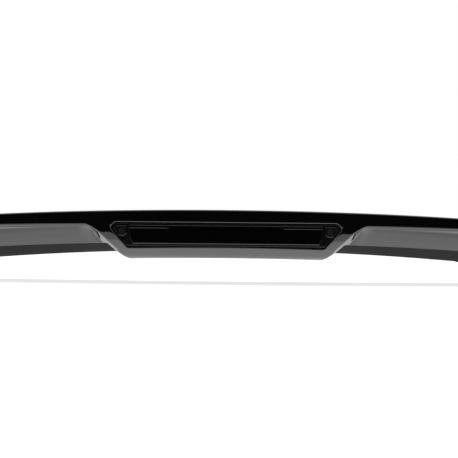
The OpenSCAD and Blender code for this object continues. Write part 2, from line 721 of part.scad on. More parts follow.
// Studs: steel bolts with flat round heads, moulded into the base's towers
module mount_studs() {
    color([0.7, 0.7, 0.72]) for (p = stud_places) translate([p[0], p[1], lid_z(p[0])]) {
        translate([0, 0, -stud_l]) cylinder(d = stud_d, h = stud_l + tape_t);
        cylinder(d = stud_neck_d, h = tape_t + base_t + 1);
        translate([0, 0, tape_t + base_t]) cylinder(d = stud_head_d, h = 2.4);
    }
}

// Seals: foam rings round the studs, which keep water out of the lid's holes
module stud_seals() {
    color([0.2, 0.2, 0.2]) for (p = stud_places) translate([p[0], p[1], lid_z(p[0])]) difference() {
        cylinder(d = stud_head_d + 6, h = tape_t - seal_sink);
        translate([0, 0, -1]) cylinder(d = stud_neck_d + 0.6, h = 5);
    }
}

// Adhesive tape under the base, along a line that keeps its distance from the tail or front edge
module tape(u_of) {
    xs = [for (x = base_xs) if (abs(x) < base_xs[station_count] - 1) x];
    color([0.25, 0.05, 0.05]) loft(xs, [for (x = xs)
        let (u = u_of(x), z = lid_z(x))
        [[u, z + tape_t], [u, z], [u + tape_w, z], [u + tape_w, z + tape_t]]]);
}
module front_tape() { tape(function (x) front_tape_u(x)); }
module rear_tape() { tape(function (x) base_back_u(x) + (lip_z(x) - floor_z(x)) * tan(base_lean) + 4); }

// Edge seal: soft strip under the front edge, which closes the gap to the lid
module edge_seal() {
    xs = stations(-half + 2, half - 2, 30);
    color([0.06, 0.06, 0.06]) loft(xs, [for (x = xs)
        let (u = chord_at(x), z = lid_z(x), top = floor_z(x) + edge_t - wall)
        [[u - wall, top], [u - wall - 0.6, z], [u - 0.2, z], [u - 0.4, top]]]);
}

// Screws that pull the base up to the outer shell's posts
module shell_screws() {
    color([0.3, 0.3, 0.3]) for (x = post_xs) translate([x, tail_y(x) + post_u, floor_z(x) + screw_sink]) {
        translate([0, 0, -1.4]) cylinder(d = 2 * shell_screw_d, h = 1.4);
        translate([0, 0, -0.5]) cylinder(d = shell_screw_d - 0.9, h = base_t + 7);
    }
}

outer_shell();
base_shell();
lamp_lens();
lamp_housing();
lamp_reflector();
circuit_board();
led_chips();
board_resistors();
board_screws();
lamp_gasket();
lamp_screws();
screw_clips();
lamp_socket();
socket_pins();
breather_plug();
lead_grommet();
mount_studs();
stud_seals();
front_tape();
rear_tape();
edge_seal();
shell_screws();
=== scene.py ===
import math

import bpy
import numpy as np
from mathutils import Matrix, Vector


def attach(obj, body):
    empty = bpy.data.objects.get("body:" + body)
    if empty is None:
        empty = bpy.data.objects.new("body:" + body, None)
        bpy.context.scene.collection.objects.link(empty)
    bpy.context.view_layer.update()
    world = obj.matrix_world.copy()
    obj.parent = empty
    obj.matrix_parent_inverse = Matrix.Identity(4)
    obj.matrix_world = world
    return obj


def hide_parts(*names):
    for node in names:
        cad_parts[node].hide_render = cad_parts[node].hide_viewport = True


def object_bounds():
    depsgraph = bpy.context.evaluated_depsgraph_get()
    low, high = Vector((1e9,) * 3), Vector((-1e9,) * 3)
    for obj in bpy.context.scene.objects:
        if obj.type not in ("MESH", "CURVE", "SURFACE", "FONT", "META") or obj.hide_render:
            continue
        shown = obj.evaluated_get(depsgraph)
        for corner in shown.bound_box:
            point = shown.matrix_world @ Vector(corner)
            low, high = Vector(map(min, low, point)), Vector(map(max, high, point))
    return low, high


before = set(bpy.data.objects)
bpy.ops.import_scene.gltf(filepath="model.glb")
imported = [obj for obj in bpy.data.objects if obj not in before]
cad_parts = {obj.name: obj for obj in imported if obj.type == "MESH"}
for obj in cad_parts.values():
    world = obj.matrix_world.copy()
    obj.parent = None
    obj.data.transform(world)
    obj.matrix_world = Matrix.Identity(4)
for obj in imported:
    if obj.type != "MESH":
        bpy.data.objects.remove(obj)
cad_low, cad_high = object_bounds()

# Outer shell
# One gloss black moulding: a hollow swept wing whose tail is an upright band over an undercut cove,
# and whose middle swells into a boss with a recess for the lamp. It is moulded in one piece, face
# down, so that only the faces seen from behind and above are polished.
mm = 0.001
half = 590 * mm
taper_x = 340 * mm
chord_mid, chord_tip, tip_h = 165 * mm, 112 * mm, 22 * mm
bow_r, lid_r, overhang = 2200 * mm, 3900 * mm, 105 * mm
stud_x, tape_t, edge_t, wall = 340 * mm, 1.2 * mm, 3 * mm, 2.8 * mm
band_h, cove_h, base_h = 18.4 * mm, 25.6 * mm, 9.5 * mm
band_loss, cove_gain, base_gain, grow_x = 4.4 * mm, 5.4 * mm, 3.9 * mm, 305 * mm
nose_r, crease_r, skin_power = 1.6 * mm, 6 * mm, 1.5
band_lean, cove_top, cove_foot = np.radians([2.0, 58.0, 15.0])


def tip_share(x):
    """Share of the way from where the tips start to fall away to the very tip, 0 inboard."""
    return np.maximum(0, (np.abs(x) - taper_x) / (half - taper_x))


def growth(x):
    """a / (1 + a a / 16), with a the square of x over the growth distance."""
    a = (x / grow_x) ** 2
    return a / (1 + a * a / 16)


def shrink(x):
    """What is left of the wing's height: 1 inboard, falling with the square of the tip share."""
    gain = cove_gain + base_gain - band_loss
    tall = band_h + cove_h + base_h + gain * growth(half)
    return 1 - (1 - tip_h / tall) * tip_share(x) ** 2


def floor_z(x):
    """Top of the tape on the crowned lid: a parabola through the inner studs."""
    return (stud_x ** 2 - x ** 2) / (2 * lid_r) + tape_t


def lip_z(x):
    """Floor plus the base band."""
    return floor_z(x) + (base_h + base_gain * growth(x)) * shrink(x)


def crease_z(x):
    """Lip plus the cove."""
    return lip_z(x) + (cove_h + cove_gain * growth(x)) * shrink(x)


def top_z(x):
    """Crease plus the tail band."""
    return crease_z(x) + (band_h - band_loss * growth(x)) * shrink(x)


def tail_y(x):
    """The tail line in plan: a circle of the sweep's radius."""
    return bow_r - np.sqrt(bow_r ** 2 - x ** 2) - overhang


def chord_at(x):
    """Depth from the tail line to the front edge."""
    return chord_mid - (chord_mid - chord_tip) * tip_share(x) ** 2


def nose_at(x):
    """Radius of the tail's top edge, never more than 0.4 of the band."""
    return np.minimum(nose_r * shrink(x), 0.4 * (top_z(x) - crease_z(x)))


def band_u(x, z):
    """Setback of the straight tail band, which leans forward as it goes down to the crease."""
    return (top_z(x) - nose_at(x) - z) * math.tan(band_lean)


def round_end_z(x):
    """Where the crease's round ends and the cove's arc starts."""
    sines = math.sin(band_lean) - math.sin(cove_top)
    return crease_z(x) + crease_r * shrink(x) * sines


def wing_u(x, z):
    """Setback of the wing's tail at height z: the lean band, a round of the crease's radius from the
    band's lean to the cove's steepest, an arc that turns back to the lip's lean, then a straight."""
    r = crease_r * shrink(x)
    foot, start_z = crease_z(x), round_end_z(x)
    centre_u = band_u(x, foot) + r * math.cos(band_lean)
    sine = np.clip(math.sin(band_lean) + (foot - z) / r, math.sin(band_lean), math.sin(cove_top))
    round_u = centre_u - r * np.sqrt(1 - sine ** 2)
    start_u = centre_u - r * math.cos(cove_top)
    big = (start_z - lip_z(x)) / (math.sin(cove_top) - math.sin(cove_foot))
    sine = np.clip(math.sin(cove_top) - (start_z - z) / big, math.sin(cove_foot), math.sin(cove_top))
    arc_u = start_u + big * (np.sqrt(1 - sine ** 2) - math.cos(cove_top))
    arc_u = arc_u + np.maximum(0, lip_z(x) - z) * math.tan(cove_foot)
    return np.where(z >= foot, band_u(x, z), np.where(z >= start_z, round_u, arc_u))


# The boss: its cut corners and knees, its face and sill, its sides, and the bow of its bottom edge
mid_z = floor_z(0)
boss_cut_x, boss_knee_x, knee_drop, cut_drop = 147 * mm, 180 * mm, 5.8 * mm, 1.7 * mm
face_r, sill_r, sill_stop, boss_drop, boss_rise = 200 * mm, 22 * mm, 0.95, 12.6 * mm, 7 * mm
side_r, side_in, side_lean, side_w = 1.5 * mm, 1.3 * mm, math.radians(60), 5 * mm
side_cut_slope, flare, flare_h, flare_power = 0.5, 8 * mm, 12 * mm, 1.6
low_slope, low_sink, low_slope_out, low_sink_out = 0.68, 3.1 * mm, 0.84, 3.6 * mm
lip_reach, low_reach, foot_bow_r = 1 * mm, 3 * mm, 4600 * mm
cove_reach, cove_reach_h = 5 * mm, 12 * mm

# The recess in it: its height, its outline's corners, its floor and its rim
recess_h, recess_rise, recess_cut_h = 31.5 * mm, 3.5 * mm, 6.6 * mm
recess_tip_x, recess_top_x, recess_foot_x = 156.7 * mm, 150.4 * mm, 134.6 * mm
recess_u, recess_draft, rim_r = 11 * mm, 1 * mm, 1 * mm
end_reach, tip_reach, corner_reach = 6 * mm, 4.5 * mm, 2 * mm
recess_foot = mid_z + recess_rise
recess_top = recess_foot + recess_h
recess_tip = recess_top - recess_cut_h
recess_cut = (recess_tip_x - recess_top_x) / recess_cut_h
recess_slant = (recess_tip_x - recess_foot_x) / (recess_h - recess_cut_h)
recess_lean = math.atan2(recess_draft, recess_u)
rim_reach = recess_draft + 0.9 * rim_r
sill_z = recess_foot - recess_draft
boss_low = mid_z - boss_drop
cut_z = mid_z - cut_drop
side_slope = (boss_knee_x - boss_cut_x) / (crease_z(boss_knee_x) - knee_drop - cut_z)


def soft_min(a, b, k):
    """The lower of a and b, with a round of reach k where they meet."""
    h = np.clip(0.5 + 0.5 * (b - a) / k, 0, 1)
    return b + (a - b) * h - k * h * (1 - h)


def soft_max(a, b, k):
    """The higher of a and b, with a round of reach k where they meet."""
    return -soft_min(-a, -b, k)


def face_u(x, z):
    """Setback of the boss: an arc of the face's radius that leaves the band at its own lean, then
    from the sill's height down an arc of the sill's radius that rolls under."""
    foot = crease_z(x)
    turned = math.sin(band_lean) + (foot - np.clip(z, sill_z, foot)) / face_r
    upper = band_u(x, np.maximum(z, foot)) + face_r * (math.cos(band_lean) - np.sqrt(1 - turned ** 2))
    rolled = np.minimum(turned + np.maximum(sill_z - z, 0) / sill_r, sill_stop)
    return upper + sill_r * (np.sqrt(1 - turned ** 2) - np.sqrt(1 - rolled ** 2))


def side_x(z):
    """Half width of the boss at height z, along its slanted side, which flares out as it nears the
    crease, and below that along its cut corner."""
    near = np.clip((z - crease_z(boss_knee_x)) / flare_h + 1, 0, 1)
    slope = np.where(z > cut_z, side_slope, side_cut_slope)
    return boss_cut_x + (z - cut_z) * slope + flare * near ** flare_power


def foot_bow(x):
    """How far the boss's bottom edge and the recess's foot have bowed down at x."""
    return x ** 2 / (2 * foot_bow_r)


def low_z(x):
    """Lower edge of the shell: the lip outboard, the foot of the boss's side and cut corner, and its
    bottom edge in the middle, each rounded into the next."""
    past = np.abs(x) - boss_cut_x
    cut = cut_z + np.maximum(low_slope * past - low_sink, low_slope_out * past - low_sink_out)
    return soft_max(soft_min(lip_z(x), cut, lip_reach), boss_low - foot_bow(x), low_reach)


def recess_end(z):
    """Half width of the recess's floor at height z, over its cut corner, tip and slanted end."""
    above = np.minimum(z, recess_top) - recess_tip
    return soft_min(recess_tip_x - above * recess_cut, recess_tip_x + above * recess_slant, end_reach)


def recess_out(x, z):
    """Distance outside the recess's outline: the greatest of the distances past its top, foot, cut
    corner and slanted end, with its corners rounded."""
    a = np.abs(x)
    past_cut = (a - recess_tip_x + (z - recess_tip) * recess_cut) / math.hypot(1, recess_cut)
    past_slant = (a - recess_tip_x + (recess_tip - z) * recess_slant) / math.hypot(1, recess_slant)
    ends = soft_max(past_cut, past_slant, tip_reach)
    foot = recess_foot - foot_bow(x)
    return soft_max(soft_max(ends, z - recess_top, corner_reach), foot - z, corner_reach)


def tail_u(x, z):
    """Setback of everything seen from behind: the wing's tail joined with the boss, whose sides
    round over and then lean away into the cove, less the recess with its rounded rim and drafted
    walls. Sides and cove meet in a round that grows with the depth under the crease."""
    out = (np.abs(x) - side_x(z)) / math.hypot(1, side_slope) + side_in
    turn = np.clip(out / side_r, 0, math.sin(side_lean))
    side = side_r * (1 - np.sqrt(1 - turn ** 2))
    side = side + np.maximum(0, out - side_r * math.sin(side_lean)) * math.tan(side_lean)
    depth = np.clip((crease_z(x) - z) / cove_reach_h, 0, 1)
    u = soft_min(wing_u(x, z), face_u(x, z) + side, cove_reach * depth + 0.001 * mm)
    into = rim_reach - recess_out(x, z)
    turn = np.clip(into / rim_r, 0, math.cos(recess_lean))
    cut = u + rim_r * (1 - np.sqrt(1 - turn ** 2))
    cut = cut + np.maximum(0, into - rim_r * math.cos(recess_lean)) / math.tan(recess_lean)
    return np.minimum(cut, np.maximum(recess_u, u))


def skin(x, v):
    """Top skin: v runs from 0 at the front edge to 1 at the nose round. The height falls with the
    skin power of the way forward. Gives setback, height and the slope at the nose."""
    r = nose_at(x)
    rise = top_z(x) - floor_z(x) - edge_t
    ramp = np.arctan(skin_power * rise / chord_at(x))
    start_u, start_z = r + r * np.sin(ramp), top_z(x) - r + r * np.cos(ramp)
    u = chord_at(x) + v * (start_u - chord_at(x))
    return u, floor_z(x) + edge_t + (start_z - floor_z(x) - edge_t) * v ** skin_power, ramp


def nose(x, share):
    """Nose round, from the skin's slope at share 0 to upright at share 1. Gives setback and height."""
    r = nose_at(x)
    turn = (math.pi / 2 + skin(x, 1)[2]) * (1 - share)
    return r - r * np.cos(turn), top_z(x) - r + r * np.sin(turn)


def spread(counts):
    """Parameters from 0 to the number of counts, with so many even steps from each whole number to
    the next."""
    parts = [np.linspace(i, i + 1, n, endpoint=False) for i, n in enumerate(counts)]
    return np.append(np.concatenate(parts), len(counts))


def between(knots, at):
    """Straight interpolation along a list of equal arrays: at 2.5 gives the mean of the knots 2 and 3."""
    low = np.clip(np.floor(at).astype(int), 0, len(knots) - 2)
    stack = np.stack(np.broadcast_arrays(*knots))
    first = np.take_along_axis(stack, low[None], 0)[0]
    second = np.take_along_axis(stack, low[None] + 1, 0)[0]
    return first + (at - low) * (second - first)


# The lamp's middle, the window behind it, and where the grid's columns and rows change their course
lens_down, lens_mid = 2 * mm, 13 * mm
lamp_z = recess_top - lens_down - lens_mid
window_x, window_h, window_rim = 127 * mm, 23 * mm, 5 * mm
even_x, foot_in, foot_out, column_gap = 235 * mm, 5 * mm, 3 * mm, 1 * mm
turn_x, turn_w, row_gap, low_gap = 160 * mm, 58 * mm, 0.3 * mm, 0.4 * mm
lip_round, tip_r = 0.8 * mm, 0.8 * mm


def column_x(at, z):
    """Where a column of the grid lies at height z: columns follow the window, the recess's end and
    rim, the crown and foot of the boss's side, and then spread evenly to the tip."""
    end = recess_end(z)
    side = np.minimum(side_x(z), side_x(crease_z(boss_knee_x)))
    rim = end + rim_reach * math.hypot(1, recess_slant)
    slant = math.hypot(1, side_slope)
    rounded = side - 1.2 * side_in * slant
    foot = side + side_w * slant
    knots = [
        0 * z, np.minimum(window_x, end - window_rim), end, rim, np.maximum(rounded, rim + column_gap),
        np.maximum(foot - foot_in, rim + 2 * column_gap), np.maximum(foot + foot_out, rim + 5 * column_gap),
        even_x + 0 * z, half - tip_r + 0 * z
    ]
    return between(knots, at)


def row_z(at, x):
    """Height of a row of the grid from the nose down to the lower edge. Behind the lamp the rows
    follow the recess; outboard they follow the band's foot, the crease's round and the cove."""
    outboard = np.clip((np.abs(x) - turn_x) / turn_w, 0, 1)
    outboard = outboard ** 2 * (3 - 2 * outboard)
    start, lip = round_end_z(x), lip_z(x)
    low, bow = low_z(x) + lip_round, foot_bow(x)
    mids = [
        top_z(x) - nose_at(x), recess_top + rim_reach, recess_top - row_gap, recess_tip,
        recess_foot - bow + row_gap, recess_foot - bow - rim_reach
    ]
    wings = [top_z(x) - nose_at(x), crease_z(x)]
    wings += [start + part * (lip - start) for part in (0, 0.25, 0.7, 0.9)]
    knots = [a + (b - a) * outboard for a, b in zip(mids, wings)]
    knots = [np.maximum(k, low + (6 - i) * low_gap) for i, k in enumerate(knots)]
    return between(knots + [low], at)


columns, rows = spread([26, 8, 12, 5, 9, 9, 14, 40]), spread([9, 12, 9, 20, 12, 12])
grid_c, grid_r = np.meshgrid(columns, rows, indexing="ij")

# Where a column lies depends on the height and where a row lies on the place along the wing, so both
# are settled by turns
settle_steps, settle_share = 90, 0.3
tail_x = column_x(grid_c, 0 * grid_c + mid_z)
for step in range(settle_steps):
    tail_z = row_z(grid_r, tail_x)
    tail_x = tail_x + settle_share * (column_x(grid_c, tail_z) - tail_x)
tail_z = row_z(grid_r, tail_x)

# The skin and nose carry on from the top row of the tail, on the same columns
skin_rows, skin_crowd, nose_steps = 38, 1.4, 7
front_rows = 1 - np.linspace(1, 0, skin_rows) ** skin_crowd
top_x = np.repeat(tail_x[:, :1], len(front_rows), axis=1)
skin_u, skin_z = skin(top_x, front_rows[None, :])[:2]
nose_x = np.repeat(tail_x[:, :1], nose_steps, axis=1)
nose_u, nose_z = nose(nose_x, np.linspace(0, 1, nose_steps + 1)[None, :-1])
foot_x = tail_x[:, :1]
foot_u = chord_at(foot_x)
foot_z = floor_z(foot_x) + edge_t - wall

# The underside runs from a small round at the lower edge to the base's back
low_x = tail_x[:, -1:]
corner_u, corner_z = tail_u(low_x, low_z(low_x)), low_z(low_x)
boss_share = np.clip((lip_z(low_x) - corner_z) / (lip_z(low_x) - boss_low), 0, 1)
back_u = wing_u(low_x, lip_z(low_x)) + wall * math.cos(cove_foot)
back_z = corner_z + boss_rise * boss_share
reach = lip_round / np.hypot(back_u - corner_u, back_z - corner_z)
last_u, last_z = tail_u(low_x, tail_z[:, -1:]), tail_z[:, -1:]
near_u, near_z = corner_u + reach * (back_u - corner_u), corner_z + reach * (back_z - corner_z)
under = np.linspace(0, 1, 5)[None, 1:]


def bend(a, corner, b, t):
    """Quadratic curve from a to b that leaves and arrives along the lines to the corner."""
    return (1 - t) ** 2 * a + 2 * t * (1 - t) * corner + t ** 2 * b


edge_u = np.hstack([bend(last_u, corner_u, near_u, under), near_u + under * (back_u - near_u)])
edge_z = np.hstack([bend(last_z, corner_z, near_z, under), near_z + under * (back_z - near_z)])
edge_x = np.repeat(low_x, edge_u.shape[1], axis=1)
all_x = np.hstack([foot_x, top_x, nose_x, tail_x, edge_x])
all_u = np.hstack([foot_u, skin_u, nose_u, tail_u(tail_x, tail_z), edge_u])
all_z = np.hstack([foot_z, skin_z, nose_z, tail_z, edge_z])
points = np.stack([all_x, tail_y(all_x) + all_u, all_z], axis=-1)

# The tip's edge is rounded over by columns that run in from the section's outline; the last two lie
# in the plane of the tip's flat end
section = points[-1]
run = np.roll(section, -1, axis=0) - np.roll(section, 1, axis=0)
outward = np.stack([0 * run[:, 0], run[:, 2], -run[:, 1]], axis=1)
outward /= np.linalg.norm(outward, axis=1, keepdims=True)
tip_turn = np.radians([30, 60, 90, 90])[:, None, None]
tip_flat = np.array([0, 0, 0, 0.3])[:, None, None] * mm
tip_inset = tip_r * (1 - np.cos(tip_turn)) + tip_flat
closing = section - tip_inset * outward
closing[..., 0] += tip_r * np.sin(tip_turn[..., 0])
closing[..., 1] += tail_y(closing[..., 0]) - tail_y(section[:, 0])
right = np.concatenate([points, closing])


def mirrored(right, sign):
    """Puts the left half before the right one: the same columns in reverse, with x turned round."""
    left = right[:0:-1] * np.array(sign)
    return np.concatenate([left, right])


def grid_faces(n_columns, n_rows):
    """Quads of a grid whose point number is column * rows + row, with the outside to the viewer when
    columns run to the right and rows run down."""
    c, r = np.meshgrid(np.arange(n_columns - 1), np.arange(n_rows - 1), indexing="ij")
    a = (c * n_rows + r).ravel()
    return np.stack([a, a + 1, a + n_rows + 1, a + n_rows], axis=1)


def point_normals(points, faces):
    """Mean of the normals of the faces round each point, each as long as its face is large."""
    corners = points[faces]
    normal = np.cross(corners[:, 2] - corners[:, 0], corners[:, 3] - corners[:, 1])
    total = np.zeros_like(points)
    for corner in range(4):
        np.add.at(total, faces[:, corner], normal)
    return total / np.maximum(np.linalg.norm(total, axis=1, keepdims=True), 1e-12)


def thick(points, faces, inner, caps=()):
    """Closes a sheet into a wall: the sheet and its caps, the inner points under the same faces turned
    round, and one quad along every edge that only one face uses."""
    starts = np.concatenate([faces.ravel(), *caps])
    ends = np.concatenate([np.roll(faces, -1, axis=1).ravel(), *[np.roll(cap, -1) for cap in caps]])
    count = len(points)
    lone = ~np.isin(starts * count + ends, ends * count + starts)
    a, b = starts[lone], ends[lone]
    rim = np.stack([b, a, a + count, b + count], axis=1)
    closed = faces.tolist() + (faces[:, ::-1] + count).tolist() + rim.tolist()
    for cap in caps:
        closed += [cap.tolist(), (cap[::-1] + count).tolist()]
    return np.concatenate([points, inner]), closed


def closed_rings(rings):
    """Closed skin over a list of equal rings of points, from each ring to the next and from the last
    to the first. Gives the points and the quads."""
    n_rings, n_points = rings.shape[:2]
    k, i = np.meshgrid(np.arange(n_rings), np.arange(n_points), indexing="ij")
    k2, i2 = (k + 1) % n_rings, (i + 1) % n_points
    faces = np.stack([k * n_points + i, k2 * n_points + i, k2 * n_points + i2, k * n_points + i2], axis=-1)
    return rings.reshape(-1, 3), faces.reshape(-1, 4).tolist()


def joined(parts):
    """Puts several closed skins into one list of points and one of faces."""
    faces, start = [], 0
    for points, part_faces in parts:
        faces += [[i + start for i in face] for face in part_faces]
        start += len(points)
    return np.concatenate([points for points, part_faces in parts]), faces


outline = mirrored(right, (-1, 1, 1))
n_columns, n_rows = outline.shape[:2]
outer = outline.reshape(-1, 3)
quads = grid_faces(n_columns, n_rows)

# The wall is thinner round the recess's rim, so that its inside stays fair. The underside's inner rows
# fall together at the wing's lip and follow the outside at the boss
rim_thin, rim_thin_w, edge_clear = 1.5 * mm, 2.5 * mm, 0.4 * mm
depth = np.full((len(right), n_rows), wall)
past = recess_out(right[..., 0], right[..., 2])
tail_rows = slice(1 + len(front_rows) + nose_steps, None)
depth[:, tail_rows] -= rim_thin * np.exp(-((past[:, tail_rows] - recess_draft) / rim_thin_w) ** 2)
inside = outer - point_normals(outer, quads) * mirrored(depth, 1).reshape(-1, 1)
inside = inside.reshape(outline.shape)
lip_row = n_rows - edge_u.shape[1] - 1
share = mirrored(np.append(boss_share[:, 0], np.zeros(len(closing)))[:, None], 1)[..., None]
inside[:, lip_row + 1:] = inside[:, lip_row:lip_row + 1] * (1 - share) + share * inside[:, lip_row + 1:]
lowest = low_z(inside[:, tail_rows, 0]) + edge_clear
inside[:, tail_rows, 2] = np.maximum(inside[:, tail_rows, 2], lowest)
inside[..., 0] = np.clip(inside[..., 0], wall - half, half - wall)
inside = inside.reshape(-1, 3)
last = (n_columns - 1) * n_rows
tips = [np.arange(last, last + n_rows), np.arange(n_rows)[::-1]]

# The window that the lamp's tub passes through
centres = outer[quads].mean(axis=1)
in_window = (np.abs(centres[:, 0]) < window_x) & (np.abs(centres[:, 2] - lamp_z) < window_h / 2)
near_tail = centres[:, 1] < tail_y(centres[:, 0]) + recess_u + 1 * mm
quads = quads[~(in_window & near_tail)]
shell_parts = [thick(outer, quads, inside, tips)]


def skin_height(x, u):
    """Height of the top skin at this setback."""
    start_u, start_z = skin(x, 1)[:2]
    v = np.clip((chord_at(x) - u) / (chord_at(x) - start_u), 0, 1)
    return floor_z(x) + edge_t + (start_z - floor_z(x) - edge_t) * v ** skin_power


# Screw posts: cones from the base's floor into the skin, each with a bore
post_u, post_foot, post_head, post_bore, base_t = 62 * mm, 4 * mm, 5.2 * mm, 1.6 * mm, 2.5 * mm
angles = -np.linspace(0, 2 * math.pi, 24, endpoint=False)
circle = np.stack([np.cos(angles), np.sin(angles), 0 * angles], axis=1)
for post_x in np.array([-500, -260, -185, -70, 70, 185, 260, 500]) * mm:
    foot = np.array([post_x, tail_y(post_x) + post_u, floor_z(post_x) + base_t])
    head = np.array([foot[0], foot[1], skin_height(post_x, post_u + post_head) - 0.4 * wall])
    outer_rings = [foot + post_foot * circle, head + post_head * circle]
    bore_rings = [head + post_bore * circle, foot + post_bore * circle]
    shell_parts.append(closed_rings(np.stack(outer_rings + bore_rings)))

# Cross ribs under the skin, from just inside the lip to well short of the front edge
rib_t, rib_in, rib_short, rib_least, rib_steps = 1.8 * mm, 10 * mm, 75 * mm, 1 * mm, 14
for rib_x in np.array([-555, -390, -290, 290, 390, 555]) * mm:
    rib_start = wing_u(rib_x, lip_z(rib_x)) + rib_in
    rib_u = rib_start + np.linspace(0, 1, rib_steps) * (chord_at(rib_x) - rib_short)
    rib_top = skin_height(rib_x, rib_u) - 0.5 * wall
    rib_z = np.stack([rib_top, np.minimum(lip_z(rib_x), rib_top - rib_least)], axis=1)
    rib_y = np.stack([tail_y(rib_x) + rib_u] * 2, axis=1)
    near = np.stack([rib_x + rib_t / 2 + 0 * rib_y, rib_y, rib_z], axis=-1)
    far = near - np.array([rib_t, 0, 0])
    shell_parts.append(thick(near.reshape(-1, 3), grid_faces(rib_steps, 2), far.reshape(-1, 3)))
shell_points, shell_faces = joined(shell_parts)


def piece(name, points, faces, paint, slot, replaced, sharp=40):
    """Makes a mesh object of the frame's body with one finish, smooth but for edges sharper than so
    many degrees, in the place of CAD nodes."""
    mesh = bpy.data.meshes.new(name)
    mesh.from_pydata(points.tolist(), [], faces)
    mesh.validate()
    mesh.polygons.foreach_set("use_smooth", np.ones(len(mesh.polygons), bool))
    mesh.set_sharp_from_angle(angle=math.radians(sharp))
    mesh.materials.append(paint)
    made = bpy.data.objects.new(name, mesh)
    bpy.context.scene.collection.objects.link(made)
    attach(made, "root")
    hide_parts(*replaced)


def surface_group():
    """Node group shared by every finish. Coarse noise in object space clouds the colour between its
    dark and light and the roughness between smooth and rough; fine noise is the grain's height."""
    group = bpy.data.node_groups.new("clouded_surface", "ShaderNodeTree")
    number, colour = "NodeSocketFloat", "NodeSocketColor"
    taken = {
        "Dark": colour, "Light": colour, "Smooth": number, "Rough": number,
        "Clouds": number, "Grain": number
    }
    given = {"Color": colour, "Roughness": number, "Height": number}
    for name, kind in taken.items():
        group.interface.new_socket(name=name, in_out="INPUT", socket_type=kind)
    for name, kind in given.items():
        group.interface.new_socket(name=name, in_out="OUTPUT", socket_type=kind)
    nodes, links = group.nodes, group.links
    ins, outs = nodes.new("NodeGroupInput"), nodes.new("NodeGroupOutput")
    place = nodes.new("ShaderNodeTexCoord")
    clouds, grain = nodes.new("ShaderNodeTexNoise"), nodes.new("ShaderNodeTexNoise")
    clouds.inputs["Detail"].default_value = 5
    grain.inputs["Detail"].default_value = 2
    mix = nodes.new("ShaderNodeMix")
    mix.data_type = "RGBA"
    ramp = nodes.new("ShaderNodeMapRange")
    links.new(place.outputs["Object"], clouds.inputs["Vector"])
    links.new(place.outputs["Object"], grain.inputs["Vector"])
    links.new(ins.outputs["Clouds"], clouds.inputs["Scale"])
    links.new(ins.outputs["Grain"], grain.inputs["Scale"])
    links.new(clouds.outputs["Fac"], mix.inputs["Factor"])
    links.new(ins.outputs["Dark"], mix.inputs["A"])
    links.new(ins.outputs["Light"], mix.inputs["B"])
    links.new(clouds.outputs["Fac"], ramp.inputs["Value"])
    links.new(ins.outputs["Smooth"], ramp.inputs["To Min"])
    links.new(ins.outputs["Rough"], ramp.inputs["To Max"])
    links.new(mix.outputs["Result"], outs.inputs["Color"])
    links.new(ramp.outputs["Result"], outs.inputs["Roughness"])
    links.new(grain.outputs["Fac"], outs.inputs["Height"])
    return group


clouded = surface_group()


def finish(name, dark, light, rough, clouds, grain, relief, **fixed):
    """Material of a moulded, plated or rubber surface: the clouded group with this finish's two
    colours and two roughness values, a grain of this many noise cells a metre and this relief in
    metres. What is the same all over, such as Metallic, is set on the shader's own socket."""
    paint = bpy.data.materials.new(name)
    paint.use_nodes = True
    nodes, links = paint.node_tree.nodes, paint.node_tree.links
    shader = nodes["Principled BSDF"]
    cloud = nodes.new("ShaderNodeGroup")
    cloud.node_tree = clouded
    cloud.inputs["Dark"].default_value = (*dark, 1)
    cloud.inputs["Light"].default_value = (*light, 1)
    cloud.inputs["Smooth"].default_value, cloud.inputs["Rough"].default_value = rough
    cloud.inputs["Clouds"].default_value = clouds
    cloud.inputs["Grain"].default_value = grain
    bump = nodes.new("ShaderNodeBump")
    bump.inputs["Distance"].default_value = relief
    links.new(cloud.outputs["Color"], shader.inputs["Base Color"])
    links.new(cloud.outputs["Roughness"], shader.inputs["Roughness"])
    links.new(cloud.outputs["Height"], bump.inputs["Height"])
    links.new(bump.outputs["Normal"], shader.inputs["Normal"])
    for socket, value in fixed.items():
        shader.inputs[socket.replace("_", " ")].default_value = value
    return paint


def paint_node(node, paint):
    """Gives a CAD node its finish."""
    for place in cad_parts[node].material_slots:
        place.material = paint


gloss_black = finish(
    "gloss_black", (0.002, 0.002, 0.0025), (0.0035, 0.0035, 0.004), (0.045, 0.075), 60, 900, 2e-6,
    Coat_Weight=1.0, Coat_Roughness=0.03
)
piece("gloss_shell", shell_points, shell_faces, gloss_black, "gloss_black", ["outer_shell"])

# Base shell
# Satin black tray that closes the outer shell from below and stands on the boot lid. It is moulded
# with towers for the studs and seats for the screws, in a fine-grained mould that leaves it dull.
satin_black = finish(
    "satin_black", (0.008, 0.008, 0.0085), (0.013, 0.013, 0.0135), (0.38, 0.5), 45, 2600, 2e-5,
    Specular_IOR_Level=0.3
)
paint_node("base_shell", satin_black)

# Lamp lens
# Smoked acrylic cover, moulded as a shallow cup and glued to the housing's flange. It is a long slab
# with rounded edges, follows the tail's sweep and carries a slightly proud pad at each end.
lens_x, lens_h, lens_r, lens_t = 131 * mm, 25.6 * mm, 1 * mm, 2.2 * mm
flange_u, gasket_u, lens_deep, rest = 7.3 * mm, 9.8 * mm, 4 * mm, 0.15 * mm
lens_sink, lens_foot_x, lens_bend_x, lens_bend_h = 0.5 * mm, 126.4 * mm, 130 * mm, 8 * mm
lens_low = lamp_z - lens_h / 2 - lens_sink
pad_slope_x, pad_slope_h = 6 * mm, 0.5 * mm
end_r, pad_in, pad_top, pad_up = 0.4 * mm, 77 * mm, lens_low + 21.6 * mm, 0.35 * mm


